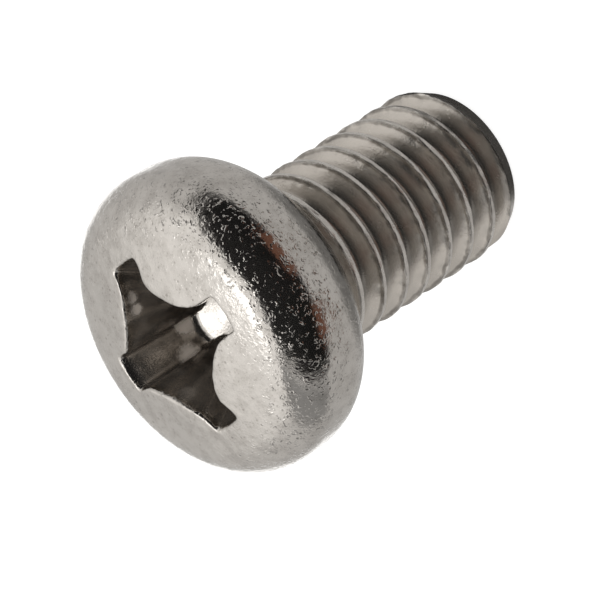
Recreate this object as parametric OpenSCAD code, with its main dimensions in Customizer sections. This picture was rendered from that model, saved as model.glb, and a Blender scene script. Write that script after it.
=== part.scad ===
// Pan head machine screw with a cross recess, M4 x 0.7 x 6, one piece of steel.
//
// The screw stands on the flat end of its shank, with +Z along its axis towards the head.
// The origin is the middle of the bearing face, the flat ring under the head that the
// screw clamps with, so the head is above z = 0 and the shank is below it.
// The shank is drawn at its major diameter: its helix is finer than this model needs.

/* [Head] */
// Diameter of the head at its widest
head_d = 6.76; // [5.5:0.02:9]
// Height of the head above its bearing face
head_h = 2.91; // [2.4:0.01:3.6]
// Radius of the slightly domed crown
crown_r = 11; // [7:0.5:16]
// Radius of the edge between the crown and the side
crown_edge_r = 1.1; // [0.8:0.05:1.2]
// Radius of the edge between the side and the bearing face
bearing_edge_r = 1.18; // [0.6:0.02:1.2]

/* [Shank] */
// Diameter over the thread crests
major_d = 3.93; // [3.2:0.01:4.8]
// Length under the head
shank_l = 6; // [4:0.5:40]
// Length of the pointing at the end
point_l = 0.45; // [0.2:0.05:0.8]
// Diameter of the flat end
end_d = 3.5; // [3:0.05:3.9]
// Radius of the fillet under the head
neck_r = 0.15; // [0.05:0.05:0.3]

/* [Cross recess] */
// Span of the wings where they meet the crown
recess_d = 3.94; // [3.2:0.02:4.8]
// Span of the wings at their floor
wing_floor_d = 2.29; // [2:0.01:2.4]
// Lean of the wing ends from the axis, in degrees
wing_end_lean = 26.5; // [20:0.5:30]
// Width of a wing at the outer end of its floor
wing_w = 0.67; // [0.5:0.01:0.8]
// Lean of the wing sides from the axis, in degrees
wing_side_lean = 3; // [1:0.1:6]
// Turn of each wing side that narrows the wing towards its end, in degrees
wing_narrowing = 1; // [0:0.5:3]
// Diameter that the noses between the wings leave free at the wing floor
nose_d = 1.47; // [1.2:0.01:1.6]
// Lean of the nose faces from the axis, in degrees
nose_lean = 10; // [4:0.5:12]
// Angle between the two faces of a nose, in degrees
nose_angle = 140; // [120:5:160]
// Slope of the conical bottom from the flat, in degrees
bottom_slope = 21; // [15:1:35]

/* [Hidden] */

$fn = 96;
wings = 4;
wing_step = 360 / wings;
// How far a cutting solid reaches past the metal it cuts
overrun = 1;

head_r = head_d / 2;
major_r = major_d / 2;

// The crown is part of a sphere centred on the axis.
crown_z = head_h - crown_r;
// Centre of the crown edge's arc, which touches the crown and the side
edge_x = head_r - crown_edge_r;
edge_z = crown_z + sqrt(pow(crown_r - crown_edge_r, 2) - pow(edge_x, 2));
// Where the crown runs into that arc
touch = crown_r / (crown_r - crown_edge_r);
touch_x = edge_x * touch;
touch_z = crown_z + (edge_z - crown_z) * touch;
// The lower edge stays within the height of the side and clear of the neck's fillet.
lower_edge_r = min(bearing_edge_r, edge_z, head_r - major_r - neck_r);
// Outer edge of the flat bearing face
bearing_r = head_r - lower_edge_r;

// The recess is set out from where its wing ends meet the crown.
mouth_z = crown_z + sqrt(pow(crown_r, 2) - pow(recess_d / 2, 2));
wing_floor_z = mouth_z - (recess_d - wing_floor_d) / 2 / tan(wing_end_lean);
bottom_z = wing_floor_z - wing_floor_d / 2 * tan(bottom_slope);
punch_z = head_h + overrun;
punch_r = recess_d / 2 + (punch_z - mouth_z) * tan(wing_end_lean);
// A block that is larger than the whole head
block = 4 * head_d;
nose_turn = 90 - nose_angle / 2;

// Half section of the head: flat bearing face, rounded side, domed crown
module head_section() {
    polygon([
        [0, 0], [bearing_r, 0], [bearing_r, lower_edge_r], [head_r, lower_edge_r],
        [head_r, edge_z], [edge_x, edge_z], [touch_x, touch_z], [0, touch_z],
    ]);
    translate([bearing_r, lower_edge_r]) circle(lower_edge_r);
    translate([edge_x, edge_z]) circle(crown_edge_r);
    intersection() {
        translate([0, crown_z]) circle(crown_r);
        translate([0, edge_z]) square([touch_x, head_h]);
    }
}

// Half section of the concave fillet at the bearing face, with its root in head and shank
module neck_section() {
    difference() {
        translate([major_r - neck_r, -neck_r]) square(2 * neck_r);
        translate([major_r + neck_r, -neck_r]) circle(neck_r);
    }
}

// Plain shank, rooted in the head, with a short cone at its end
module shank() {
    translate([0, 0, point_l - shank_l]) cylinder(r = major_r, h = shank_l - point_l + neck_r);
    translate([0, 0, -shank_l]) cylinder(r1 = min(end_d / 2, major_r), r2 = major_r, h = point_l);
    rotate_extrude() neck_section();
}

// Everything outside one leaning plane, which is reach from the axis at the wing floor
module beyond(azimuth, reach, lean) {
    rotate(azimuth) translate([reach, 0, wing_floor_z]) rotate([0, lean, 0])
        translate([0, -block / 2, -block / 2]) cube(block);
}

// The steel that the punch leaves between two wings, ending in a blunt nose
module lobe() {
    side = wing_w / 2 * cos(wing_narrowing) + wing_floor_d / 2 * sin(wing_narrowing);
    nose = nose_d / 2 * cos(nose_turn);
    intersection() {
        beyond(wing_narrowing, side, wing_side_lean);
        beyond(wing_step - wing_narrowing, side, wing_side_lean);
        beyond(wing_step / 2 - nose_turn, nose, nose_lean);
        beyond(wing_step / 2 + nose_turn, nose, nose_lean);
    }
}

// The space that the punch leaves: a cone that holds the wings, less the four lobes
module recess() {
    difference() {
        rotate_extrude() polygon([
            [0, bottom_z], [wing_floor_d / 2, wing_floor_z], [punch_r, punch_z], [0, punch_z],
        ]);
        for (i = [0 : wings - 1]) rotate(i * wing_step) lobe();
    }
}

module screw() {
    color([0.76, 0.75, 0.73]) difference() {
        union() {
            rotate_extrude() head_section();
            shank();
        }
        recess();
    }
}

screw();
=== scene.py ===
import math

import bmesh
import bpy
from mathutils import Matrix, Vector, noise


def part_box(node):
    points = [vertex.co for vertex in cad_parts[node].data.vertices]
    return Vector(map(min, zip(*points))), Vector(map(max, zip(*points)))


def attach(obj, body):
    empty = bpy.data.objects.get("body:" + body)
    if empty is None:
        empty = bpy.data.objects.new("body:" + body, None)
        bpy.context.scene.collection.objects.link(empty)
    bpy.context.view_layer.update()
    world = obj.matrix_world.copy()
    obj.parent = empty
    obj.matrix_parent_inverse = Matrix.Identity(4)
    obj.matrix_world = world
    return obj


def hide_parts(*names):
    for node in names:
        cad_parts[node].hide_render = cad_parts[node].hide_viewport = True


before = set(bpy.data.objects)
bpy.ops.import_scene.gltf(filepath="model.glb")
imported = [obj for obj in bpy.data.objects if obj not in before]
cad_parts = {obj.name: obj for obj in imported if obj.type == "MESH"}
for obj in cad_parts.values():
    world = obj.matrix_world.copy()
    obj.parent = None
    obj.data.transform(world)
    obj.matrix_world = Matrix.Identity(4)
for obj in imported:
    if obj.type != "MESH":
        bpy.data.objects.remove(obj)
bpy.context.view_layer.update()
screw_low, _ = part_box("screw")

MM = 0.001  # the shapes below are worked out in millimetres, and Blender holds metres

# ---------------------------------------------------------------- blank: tip, shank and head
# The screw is one length of stainless wire. Its head is struck cold in a die, which leaves a
# slightly domed crown with a generously rounded edge above and below a short plain side.
# Every height is measured from the bearing face under the head.

COLUMNS = 208  # points round each ring: a multiple of eight, to share out over the recess
head_r = -screw_low.y / MM
shank_l = -screw_low.z / MM
major_r = 1.965
end_r = 1.75
point_l = 0.45
crown_top = 2.91
crown_r = 11.0
crown_edge_r = 1.1
bearing_edge_r = 1.18
neck_r = 0.15
neck_core_r = 1.82  # the bare wire between the last thread and the head

crown_z = crown_top - crown_r
edge_x = head_r - crown_edge_r
edge_z = crown_z + math.sqrt((crown_r - crown_edge_r) ** 2 - edge_x**2)
edge_turn = math.atan2(edge_x, edge_z - crown_z)


def crown_height(x, y):
    return crown_z + math.sqrt(crown_r**2 - x * x - y * y)


def steps(count, start=0.0, stop=1.0):
    """Evenly spaced values from start to stop, both included."""
    return [start + (stop - start) * i / count for i in range(count + 1)]


def turned(outline):
    """One ring of points for each (radius, height) of a turned outline."""
    return [
        [(r * math.cos(a), r * math.sin(a), z) for a in steps(COLUMNS, 0, 2 * math.pi)[:-1]]
        for r, z in outline
    ]


def arc(x, z, r, start, stop, count):
    """Points of an arc in the outline; angles are from the screw's axis, in radians."""
    return [(x + r * math.sin(a), z + r * math.cos(a)) for a in steps(count, start, stop)]


end_hollow = 0.02  # the end is cropped very slightly hollow
end_face = [(r, -shank_l + end_hollow * (1 - (r / end_r) ** 2)) for r in steps(6, 0.3, end_r)]
right = math.pi / 2  # a right angle
head_outline = (
    [(neck_core_r + neck_r * (1 - math.cos(a)), -neck_r * (1 - math.sin(a)))
     for a in steps(5, 0, right)]
    + [(r, 0.0) for r in steps(3, neck_core_r + neck_r, head_r - bearing_edge_r)[1:]]
    + arc(head_r - bearing_edge_r, bearing_edge_r, bearing_edge_r, 2 * right, right, 16)[1:]
    + arc(edge_x, edge_z, crown_edge_r, right, edge_turn, 20)
)

# ---------------------------------------------------------------- thread
# The thread is rolled between flat dies, M4 by 0.7, right-handed. Rolling pushes the metal up
# into narrow crests that don't quite fill: each is a little uneven, with a small step where
# it meets the flank on the head's side.

pitch = 0.7
thread_depth = 0.40
crest_half = 0.035
flank = math.tan(math.radians(60))
shoulder = 0.030
shoulder_w = 0.022
root_round = 0.10
crest_wear = 0.030
full_thread = (0.05, 0.55)  # how far above the end the thread starts, and is full
last_turn = (-1.0, -0.75)  # heights between which the crest widens towards the head
neck_from = -0.34  # height at which the thread starts to run out into the neck
uneven_down_to = (0.05, 0.14)  # distances from a crest over which its unevenness dies out
first_crest_z = -0.78  # height of the first crest on the side of azimuth 0, facing -Y


def smooth(low, high, value):
    t = min(max((value - low) / (high - low), 0.0), 1.0)
    return t * t * (3 - 2 * t)


def rounded_min(a, b, round_by):
    gap = max(round_by - abs(a - b), 0.0) / round_by
    return min(a, b) - gap * gap * round_by / 4


def crest_height(angle, turn):
    """Height of a crest at an angle. The thread climbs one pitch for each turn about +Z."""
    return first_crest_z + pitch * (turn + (angle + right) / (4 * right))


def shank_radius(angle, z, off):
    """Radius of the shank where the nearest crest is off below the point."""
    x, y = math.cos(angle), math.sin(angle)
    nick = noise.noise((4 * x, 4 * y, 5 * z)) + 0.8 * noise.noise((15 * x, 15 * y, 9 * z))
    uneven = 0.6 * nick * (1 - smooth(*uneven_down_to, abs(off)))
    crest = crest_half * (1 + uneven + 0.9 * smooth(*last_turn, z))
    slide = max(abs(off) - crest, 0.0)
    depth = slide * flank
    if off > 0:
        depth += shoulder * smooth(0.0, shoulder_w, slide - 0.012 - 0.006 * nick)
    depth = rounded_min(depth, thread_depth, root_round)
    depth *= smooth(*full_thread, z + shank_l)
    depth = max(depth, crest_wear * (0.6 + 0.5 * nick))
    point = end_r + (major_r - end_r) * (z + shank_l) / point_l
    r = min(major_r - depth, point)
    return r + (neck_core_r - r) * smooth(neck_from, -neck_r, z)


# Heights off the crest at which each turn is drawn: close at the crest, wider on the flanks
half_turn = steps(9, 0, 0.099)[:-1] + steps(4, 0.099, 0.25)[:-1] + steps(4, 0.25, pitch / 2)
offsets = [-o for o in reversed(half_turn[1:])] + half_turn[:-1]
first_turn = math.floor((-shank_l - first_crest_z) / pitch) - 2
turns = math.ceil(shank_l / pitch) + 3
shank_end, shank_top = -shank_l, -neck_r


def shank_column(angle):
    """Points of the shank from its end to its neck, in one column that follows the turns."""
    column = []
    for turn in range(first_turn, first_turn + turns):
        for off in offsets:
            wanted = crest_height(angle, turn) + off
            z = min(max(wanted, shank_end), shank_top)
            r = shank_radius(angle, z, off + z - wanted)
            column.append((r * math.cos(angle), r * math.sin(angle), z))
    return column


shank_columns = [shank_column(a) for a in steps(COLUMNS, 0, 4 * right)[:-1]]

# ---------------------------------------------------------------- cross recess
# A hardened punch leaves four wings, with four blunt noses of steel between them and a
# conical bottom. The blow draws the crown down a little into a rounded lip.

floor_r = 1.145  # reach of the wings at their floor
wing_end_lean = math.radians(26.5)
wing_half = 0.335
wing_side_lean = math.radians(3.0)
wing_narrowing = math.radians(1.0)
nose_reach = 0.735
nose_lean = math.radians(10.0)
nose_turn = math.radians(20.0)
bottom_slope = math.tan(math.radians(21.0))
mouth_r = 1.97
mouth_z = crown_height(mouth_r, 0)
floor_z = mouth_z - (mouth_r - floor_r) / math.tan(wing_end_lean)
bottom_z = floor_z - floor_r * bottom_slope
lip = 0.058
wall_foot = 0.05  # the walls stop this far above the conical bottom, and ease into it
cone_blunt = 0.06  # the radius over which the point of the cone is blunt
wing_shift = (-0.015, -0.06)
nose_shift = (-0.05, 0.12)
END_STEPS, SIDE_STEPS, FACE_STEPS = 6, 8, 12  # one eighth of the columns


def bent(a, b, c, t):
    """Point at t of the curve from a to c that leaves and arrives along the lines to b."""
    return tuple((1 - t) ** 2 * p + 2 * t * (1 - t) * q + t * t * r for p, q, r in zip(a, b, c))


def eighth(z):
    """Outline of half a wing at height z, from the middle of its end to the nose's edge."""
    rise = z - floor_z
    end = floor_r + rise * math.tan(wing_end_lean)
    side = (wing_half * math.cos(wing_narrowing) + floor_r * math.sin(wing_narrowing)
            + rise * math.tan(wing_side_lean))
    face = nose_reach * math.cos(nose_turn) + rise * math.tan(nose_lean)
    # The side is the line x sin + y cos = side; the nose's face leans nose_turn past 45 degrees
    corner = math.asin(side / end) - wing_narrowing
    face_angle = right / 2 + nose_turn
    root_x = (side / math.cos(wing_narrowing) * math.sin(face_angle) - face) / (
        math.tan(wing_narrowing) * math.sin(face_angle) - math.cos(face_angle))
    root_y = (side - root_x * math.sin(wing_narrowing)) / math.cos(wing_narrowing)
    nose = face / math.cos(nose_turn) * math.cos(right / 2)
    tip_x, tip_y = end * math.cos(corner), end * math.sin(corner)
    points = [(end * math.cos(a), end * math.sin(a)) for a in steps(END_STEPS, 0, corner)[:-1]]
    points += [(tip_x + (root_x - tip_x) * t, tip_y + (root_y - tip_y) * t)
               for t in steps(SIDE_STEPS)[:-1]]
    # Half of the blunt nose, eased into one curve with its mirror image
    points += [bent((root_x, root_y), (nose, nose), (root_y, root_x), t / 2)
               for t in steps(FACE_STEPS)]
    return points


def recess_outline(z):
    """The whole closed outline at height z, with its corners eased."""
    half = eighth(z)
    quarter = half[:-1] + [(y, x) for x, y in reversed(half)][:-1]
    loop = []
    for wing in range(4):
        c, s = math.cos(wing * right), math.sin(wing * right)
        loop += [(x * c - y * s, x * s + y * c) for x, y in quarter]
    for _ in range(2):
        loop = [tuple((before[k] + 2 * here[k] + after[k]) / 4 for k in (0, 1))
                for before, here, after in zip(loop[-1:] + loop[:-1], loop, loop[1:] + loop[:1])]
    return loop


low_z, high_z = bottom_z, crown_top
low_loop, high_loop = recess_outline(low_z), recess_outline(high_z)


def wall(column, z):
    """Point of the recess wall in one column at height z. The walls are ruled surfaces."""
    t = (z - low_z) / (high_z - low_z)
    (ax, ay), (bx, by) = low_loop[column], high_loop[column]
    x, y = ax + (bx - ax) * t, ay + (by - ay) * t
    # The punch went in a little off the axis, and the noses are pushed the other way
    outer = smooth(1.2, 1.9, math.hypot(x, y))
    sway = [a + (b - a) * outer for a, b in zip(nose_shift, wing_shift)]
    return x + sway[0] * t, y + sway[1] * t


mouth, bottoms = [], []
for column in range(COLUMNS):
    top, base = mouth_z, floor_z
    for _ in range(30):
        top = crown_height(*wall(column, top))
        base = bottom_z + math.hypot(*wall(column, base)) * bottom_slope
    mouth.append(top)
    bottoms.append(base)

mouth_points = [wall(i, mouth[i]) for i in range(COLUMNS)]
outward = []
for i in range(COLUMNS):
    (ax, ay), (bx, by) = mouth_points[i - 1], mouth_points[(i + 1) % COLUMNS]
    length = math.hypot(bx - ax, by - ay)
    outward.append(((by - ay) / length, (ax - bx) / length))

lip_rings = []
for t in steps(6):
    ring = []
    for i, ((x, y), (nx, ny)) in enumerate(zip(mouth_points, outward)):
        size = lip * (1 + 0.6 * noise.noise((1.7 * x, 1.7 * y, 9.1))
                      + 0.5 * noise.noise((7 * x, 7 * y, 2.1)))
        ox, oy = x + nx * size, y + ny * size
        outer = (ox, oy, crown_height(ox, oy))
        inner = (*wall(i, mouth[i] - 1.3 * size), mouth[i] - 1.3 * size)
        ring.append(bent(outer, (x, y, mouth[i]), inner, t))
    lip_rings.append(ring)

crown_rings = []
start_r = edge_x + crown_edge_r * math.sin(edge_turn)
for t in steps(14)[1:-1]:
    ring = []
    for i, (x, y, _) in enumerate(lip_rings[0]):
        a = 2 * math.pi * i / COLUMNS
        px = start_r * math.cos(a) * (1 - t) + x * t
        py = start_r * math.sin(a) * (1 - t) + y * t
        ring.append((px, py, crown_height(px, py)))
    crown_rings.append(ring)

wall_rings = []
for t in steps(18)[1:]:
    ring = []
    for i in range(COLUMNS):
        top = lip_rings[-1][i][2]
        z = top + (bottoms[i] + wall_foot - top) * t
        ring.append((*wall(i, z), z))
    wall_rings.append(ring)
bottom_rings = []
for t in (0.96, 0.9, 0.8, 0.65, 0.5, 0.35, 0.2, 0.1):
    ring = []
    for i in range(COLUMNS):
        x, y = wall(i, bottoms[i])
        z = bottom_z + bottom_slope * math.hypot(x * t, y * t, cone_blunt)
        ring.append((x * t, y * t, z))
    bottom_rings.append(ring)

# ---------------------------------------------------------------- screw mesh
# The screw is one closed skin, from the middle of its end face, up the shank, round the head
# and down to the bottom of the recess.

corners, faces = [], []


def add(row):
    """Adds a row of points and returns their numbers."""
    corners.extend(row)
    return list(range(len(corners) - len(row), len(corners)))


def join(below, above):
    """Faces between two rings."""
    for i in range(-1, len(below) - 1):
        faces.append((below[i], below[i + 1], above[i + 1], above[i]))


end_rings = [add(ring) for ring in turned(end_face)]
shank = [add(column) for column in shank_columns]
upper_rings = [add(ring) for ring in
               turned(head_outline) + crown_rings + lip_rings + wall_rings + bottom_rings]
for side in (end_rings, upper_rings):
    for below, above in zip(side, side[1:]):
        join(below, above)
join(end_rings[-1], [column[0] for column in shank])
join([column[-1] for column in shank], upper_rings[0])
rows = len(shank[0])
for i in range(COLUMNS):
    # After a whole turn the thread has climbed one pitch, so the seam joins rows that far apart
    climb = len(offsets) if i == COLUMNS - 1 else 0
    here, there = shank[i], shank[(i + 1) % COLUMNS]
    for k in range(rows - 1 - climb):
        faces.append((here[k], there[k + climb], there[k + climb + 1], here[k + 1]))
end_middle, recess_middle = add([(0.0, 0.0, corners[0][2]), (0.0, 0.0, corners[-1][2] - 0.002)])
for i in range(-1, COLUMNS - 1):
    faces.append((end_middle, end_rings[0][i + 1], end_rings[0][i]))
    faces.append((upper_rings[-1][i], upper_rings[-1][i + 1], recess_middle))

skin = bpy.data.meshes.new("machine_screw")
skin.from_pydata([(x * MM, y * MM, z * MM) for x, y, z in corners], [], faces)
# Rows of the thread that fall past the end or the neck lie on its last ring and merge there
work = bmesh.new()
work.from_mesh(skin)
bmesh.ops.remove_doubles(work, verts=work.verts, dist=1e-9)
bmesh.ops.dissolve_degenerate(work, edges=work.edges, dist=1e-9)
bmesh.ops.recalc_face_normals(work, faces=work.faces)
work.to_mesh(skin)
work.free()
skin.shade_smooth()
sharp_from = math.radians(38)  # flatter edges than this are shaded smooth
skin.set_sharp_from_angle(angle=sharp_from)
screw = bpy.data.objects.new("machine_screw", skin)
bpy.context.scene.collection.objects.link(screw)

# ---------------------------------------------------------------- steel
# Bright stainless steel, tumbled after rolling: a soft warm grey with fine grain, shallow
# dents and small pits. Painted shade darkens the roots of the thread, a line by each crest and
# the recess, and painted highlights lighten a few patches on the recess walls.


class Wire:
    """A socket of a node tree. Sums and products of wires add Math nodes."""

    def __init__(self, tree, socket=None):
        self.tree, self.socket = tree, socket

    def node(self, kind, settings=None, sockets=None, output=0):
        made = self.tree.nodes.new(kind)
        for name, value in (settings or {}).items():
            setattr(made, name, value)
        for name, value in (sockets or {}).items():
            if isinstance(value, Wire):
                self.tree.links.new(value.socket, made.inputs[name])
            else:
                made.inputs[name].default_value = value
        return Wire(self.tree, made.outputs[output] if len(made.outputs) else None)

    def math(self, operation, a, b=0.0):
        return self.node("ShaderNodeMath", {"operation": operation}, {0: a, 1: b})

    def __add__(self, other):
        return self.math("ADD", self, other)

    def __sub__(self, other):
        return self.math("SUBTRACT", self, other)

    def __rsub__(self, other):
        return self.math("SUBTRACT", other, self)

    def __mul__(self, other):
        return self.math("MULTIPLY", self, other)

    __radd__ = __add__
    __rmul__ = __mul__

    def between(self, low, high):
        """0 below low, 1 above high, and a soft step between them."""
        return self.node("ShaderNodeMapRange", {"interpolation_type": "SMOOTHSTEP"},
                         {"Value": self, "From Min": low, "From Max": high})


def material(name):
    made = bpy.data.materials.new(name)
    made.use_nodes = True
    made.node_tree.nodes.clear()
    return made, Wire(made.node_tree)


steel, wire = material("tumbled_steel")
# Places on the screw in millimetres, and what part of it they are on
place = wire.node("ShaderNodeVectorMath", {"operation": "SCALE"},
                  {0: wire.node("ShaderNodeTexCoord", output=3), "Scale": 1 / MM})


def grain(size, detail=2.0, rough=0.5, shift=0.0):
    """Noise whose lumps are about size millimetres across."""
    moved = wire.node("ShaderNodeVectorMath", {"operation": "ADD"}, {0: place, 1: (shift,) * 3})
    return wire.node("ShaderNodeTexNoise", None, {
        "Vector": moved, "Scale": 1 / size, "Detail": detail, "Roughness": rough})


def creases(size, width, shift):
    """Thin curved creases, broken off where a second noise is low."""
    line = 1 - wire.math("ABSOLUTE", grain(size, 1.0, 0.4, shift) - 0.5).between(0.0, width)
    return line * grain(size * 1.2, 0.0, 0.5, shift + 7.0).between(0.61, 0.70)


across, along, up = (wire.node("ShaderNodeSeparateXYZ", None, {0: place}, output=k)
                     for k in range(3))
from_axis = wire.math("SQRT", across * across + along * along)
sunk = crown_top - from_axis * from_axis * (0.5 / crown_r) - up
in_recess = (sunk.between(0.06, 0.35) * up.between(0.2, 0.4)
             * (1 - from_axis.between(2.12, 2.2)))
deep = in_recess * sunk.between(0.2, 1.5)
on_thread = 1 - up.between(-0.35, -0.1)
on_crest = on_thread * from_axis.between(1.89, 1.93)
in_root = on_thread * (1 - from_axis.between(1.60, 1.74))
on_floor = in_recess * (1 - (up - bottom_z - from_axis * bottom_slope).between(0.03, 0.10))
at_lip = (sunk.between(0.005, 0.03) * (1 - sunk.between(0.05, 0.12)) * up.between(0.2, 0.4)
          * (1 - from_axis.between(2.3, 2.4)))
# Height above the nearest crest of the thread
turned_by = wire.math("ARCTAN2", along, across) * (0.5 / math.pi) + 0.25
above = (wire.math("FRACT", (up - first_crest_z) * (1 / pitch) - turned_by + 0.5) - 0.5) * pitch
# Painted shade: a dark line along the head's side of each crest, standing in for the shade there
painted_crest_shade = (on_thread * (0.6 + 0.4 * grain(0.5, 2.0, 0.5, 2.0).between(0.35, 0.60))
              * above.between(0.030, 0.045) * (1 - above.between(0.060, 0.085)))
fine = grain(0.045, 2.0, 0.6)
middle = grain(0.20, 2.0, 0.5, 3.0)
broad = grain(0.8, 1.0)
smudge = grain(0.35, 4.0, 0.65)
cells = wire.node("ShaderNodeTexVoronoi", {"feature": "F1"},
                  {"Vector": place, "Scale": 1 / 0.17, "Randomness": 1.0})
pits = (1 - cells.between(0.08, 0.26)) * grain(0.4, 2.0, 0.5, 5.0).between(0.44, 0.58)
on_head = 1 - on_thread
on_crown = on_head * (1 - 0.85 * in_recess)
struck = 0.22 + 0.78 * from_axis.between(2.2, 2.8) * up.between(0.0, 0.4)
struck = struck * (0.55 + 0.45 * up.between(1.3, 1.8)) + 0.6 * at_lip - 0.18 * in_recess
height = (broad * (4.5 * on_crown) + middle * (2.1 * on_crown + 0.3) + 0.75 * fine
          + struck * (1.3 * creases(0.065, 0.16, 1.0) + 2.2 * creases(0.12, 0.10, 4.0)
                      - 2.6 * pits))
dent = 0.004 * MM  # depth of a dent for a height of 1
bump = wire.node("ShaderNodeBump", None, {"Height": height, "Strength": 1.0, "Distance": dent})


def mixed(factor, plain, other):
    return wire.node("ShaderNodeMix", {"data_type": "RGBA"}, {
        "Factor": factor, 6: plain, 7: other}, output=2)


tone = mixed(smudge.between(0.35, 0.75), (0.655, 0.622, 0.582, 1), (0.53, 0.50, 0.464, 1))
speckle = fine.between(0.56, 0.70) * smudge.between(0.42, 0.58)
tone = mixed(on_head * (0.5 * pits + 0.45 * speckle), tone, (0.26, 0.24, 0.215, 1))
tone = mixed(on_thread * (1 - on_crest), tone, (0.545, 0.507, 0.461, 1))
# Painted shade: the roots of the thread are darkened where shade falls in the grooves
tone = mixed(in_root * 0.4, tone, (0.20, 0.18, 0.16, 1))
# Painted shade along the head's side of each crest
tone = mixed(painted_crest_shade * 0.7, tone, (0.10, 0.088, 0.076, 1))
# Painted highlights: lighter, rougher and less metallic patches on the recess walls at a few listed
# places
painted_wall_highlights = 0.15 * grain(0.55, 1.0, 0.4, 6.0).between(0.50, 0.70)
for x, y, z, size in ((0.28, 1.25, 1.30, 0.34), (1.26, 0.53, 2.60, 0.18), (1.03, 0.69, 2.55, 0.19),
                      (-0.33, 1.33, 1.56, 0.32), (-0.23, 1.12, 1.08, 0.16)):
    off = wire.node("ShaderNodeVectorMath", {"operation": "DISTANCE"},
                    {0: place, 1: (x, y, z)}, output=1)
    off = off + 0.7 * size * (grain(0.12, 3.0, 0.6, 9.0) - 0.5)
    painted_wall_highlights = wire.math("MAXIMUM", painted_wall_highlights, 1 - off.between(0.35 * size, size))
painted_wall_highlights = painted_wall_highlights * in_recess * (1 - on_floor)
# Painted shade: the recess is darkened, more so deeper down, with its conical bottom left clear;
# the same mask makes it a little rougher and less metallic
painted_recess_shade = in_recess * (1 - 0.9 * on_floor) * (1 - 0.8 * painted_wall_highlights)
tone = mixed(painted_recess_shade * 0.7, tone, (0.29, 0.252, 0.215, 1))
tone = mixed(painted_recess_shade * deep * (0.3 + 0.6 * smudge.between(0.4, 0.6)), tone, (0.10, 0.085, 0.07, 1))
# Painted highlights on the recess walls
tone = mixed(painted_wall_highlights * 0.8, tone, (0.70, 0.63, 0.56, 1))
rough = (0.09 + 0.05 * fine + 0.05 * smudge + on_thread * (0.12 + 0.02 * on_crest)
         + 0.06 * painted_recess_shade + 0.2 * painted_wall_highlights)
shine = wire.node("ShaderNodeBsdfPrincipled", None, {
    "Base Color": tone, "Metallic": 1 - 0.08 * on_thread - 0.65 * painted_wall_highlights - 0.12 * painted_recess_shade,
    "Roughness": rough, "Normal": bump})
wire.node("ShaderNodeOutputMaterial", None, {"Surface": shine})
skin.materials.append(steel)

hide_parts("screw")
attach(screw, "root")

# ---------------------------------------------------------------- stage
# A pale floor under the tip, a pale surround, and soft cards round the head: a large black
# one behind the camera, a bright one over the crown and a low one behind the screw. A small
# dark one lies close under the tip, where the taper of the point looks down on it.

centre = Vector((0, 0, 0.5 * crown_top * MM))
card_distance = 0.06


def card(name, azimuth, elevation, half_width, half_height, light, core=0.7,
         tint=(1, 1, 1), near=1.0):
    """A soft-edged patch of a sphere round the head, seen only in reflections.
    Azimuth 0 is the camera's side, and 90 is at -X."""
    count = 24
    spots, patches = [], []
    for v in steps(count, -1, 1):
        for u in steps(count, -1, 1):
            az = math.radians(azimuth + u * half_width)
            el = math.radians(elevation + v * half_height)
            way = Vector((-math.sin(az) * math.cos(el), -math.cos(az) * math.cos(el), math.sin(el)))
            spots.append(centre + way * card_distance * near)
    for row in range(count):
        for k in range(count):
            a = row * (count + 1) + k
            patches.append((a, a + 1, a + count + 2, a + count + 1))
    sheet = bpy.data.meshes.new(name)
    sheet.from_pydata(spots, [], patches)
    layer = sheet.uv_layers.new(name="across")
    for loop in sheet.loops:
        row, k = divmod(loop.vertex_index, count + 1)
        layer.data[loop.index].uv = (2 * k / count - 1, 2 * row / count - 1)
    made = bpy.data.objects.new(name, sheet)
    bpy.context.scene.collection.objects.link(made)
    finish, w = material(name)
    spread = w.node("ShaderNodeTexCoord", output=2)
    u = w.node("ShaderNodeSeparateXYZ", None, {0: spread}, output=0)
    v = w.node("ShaderNodeSeparateXYZ", None, {0: spread}, output=1)
    u, v = u * u, v * v
    reach = u * u * u * u + v * v * v * v
    glow = w.node("ShaderNodeEmission", None, {"Color": (*tint, 1), "Strength": light})
    clear = w.node("ShaderNodeBsdfTransparent")
    edge = reach.between(core ** 8, 1.0)
    faded = w.node("ShaderNodeMixShader", None, {0: edge, 1: glow, 2: clear})
    w.node("ShaderNodeOutputMaterial", None, {"Surface": faded})
    sheet.materials.append(finish)
    made.visible_camera = made.visible_diffuse = made.visible_shadow = False


card("black_card", -1, 25, 79, 54, 0.010, core=0.80)
card("grey_card", 92, 22, 16, 46, 0.30, core=0.2)
card("brown_edge_left", -13, -17, 17, 12, 0.9, tint=(0.18, 0.088, 0.06), near=0.95)
card("brown_edge_right", 38, -24, 14, 11, 0.9, tint=(0.18, 0.088, 0.06), near=0.95)
card("crown_light", 180, 76, 46, 11, 2.4, core=0.5)
card("low_light", 180, -28, 36, 14, 1.35, core=0.2)
card("point_shade", -45, -75, 100, 6, 0.01, core=0.7, near=0.128)

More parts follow.
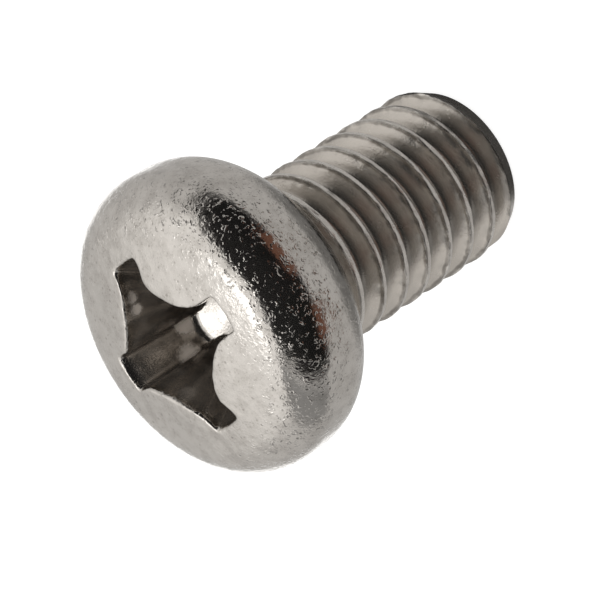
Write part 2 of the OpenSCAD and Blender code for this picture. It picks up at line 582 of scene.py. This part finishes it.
floor_mesh = bpy.data.meshes.new("floor")
reach = 2.0
floor_mesh.from_pydata([(x * reach, y * reach, screw_low.z)
                        for x, y in ((-1, -1), (1, -1), (1, 1), (-1, 1))], [], [(0, 1, 2, 3)])
floor = bpy.data.objects.new("floor", floor_mesh)
bpy.context.scene.collection.objects.link(floor)
paper, w = material("pale_floor")
matte = w.node("ShaderNodeBsdfDiffuse", None, {"Color": (0.5, 0.5, 0.5, 1)})
glow = w.node("ShaderNodeEmission", None, {"Color": (1, 1, 1, 1), "Strength": 0.8})
both = w.node("ShaderNodeAddShader", None, {0: matte, 1: glow})
w.node("ShaderNodeOutputMaterial", None, {"Surface": both})
floor_mesh.materials.append(paper)
floor.visible_glossy = False

world = bpy.data.worlds.new("surround")
bpy.context.scene.world = world
world.use_nodes = True
world.node_tree.nodes.clear()
w = Wire(world.node_tree)
way = w.node("ShaderNodeTexCoord", output=0)
rise = w.node("ShaderNodeSeparateXYZ", None, {0: way}, output=2)
level = (0.2 + 0.34 * rise.between(-0.95, -0.80) + 0.10 * rise.between(-0.3, 0.1)
         + 0.40 * rise.between(0.35, 0.8))
sky = w.node("ShaderNodeBackground", None, {"Color": (1, 0.99, 0.975, 1), "Strength": level})
w.node("ShaderNodeOutputWorld", None, {"Surface": sky})

# ---------------------------------------------------------------- camera
# The camera looks down on the crown from azimuth 0, turned so that the tip points up and
# to the right, from close by with a long lens.

lean_down = math.radians(52.75)  # between the screw's axis and the camera
roll = math.radians(-122.88)
distance = 78.6 * MM
aim_right, aim_up = 0.734 * MM, -0.264 * MM
eye = bpy.data.cameras.new("camera")
eye.lens = 228.6
eye.clip_start = 0.001
camera = bpy.data.objects.new("camera", eye)
bpy.context.scene.collection.objects.link(camera)
turn = Matrix.Rotation(lean_down, 4, "X") @ Matrix.Rotation(roll, 4, "Z")
aim = turn @ Vector((aim_right, aim_up, distance))
camera.matrix_world = Matrix.Translation(aim) @ turn
bpy.context.scene.camera = camera
bpy.context.scene.view_settings.view_transform = "Standard"
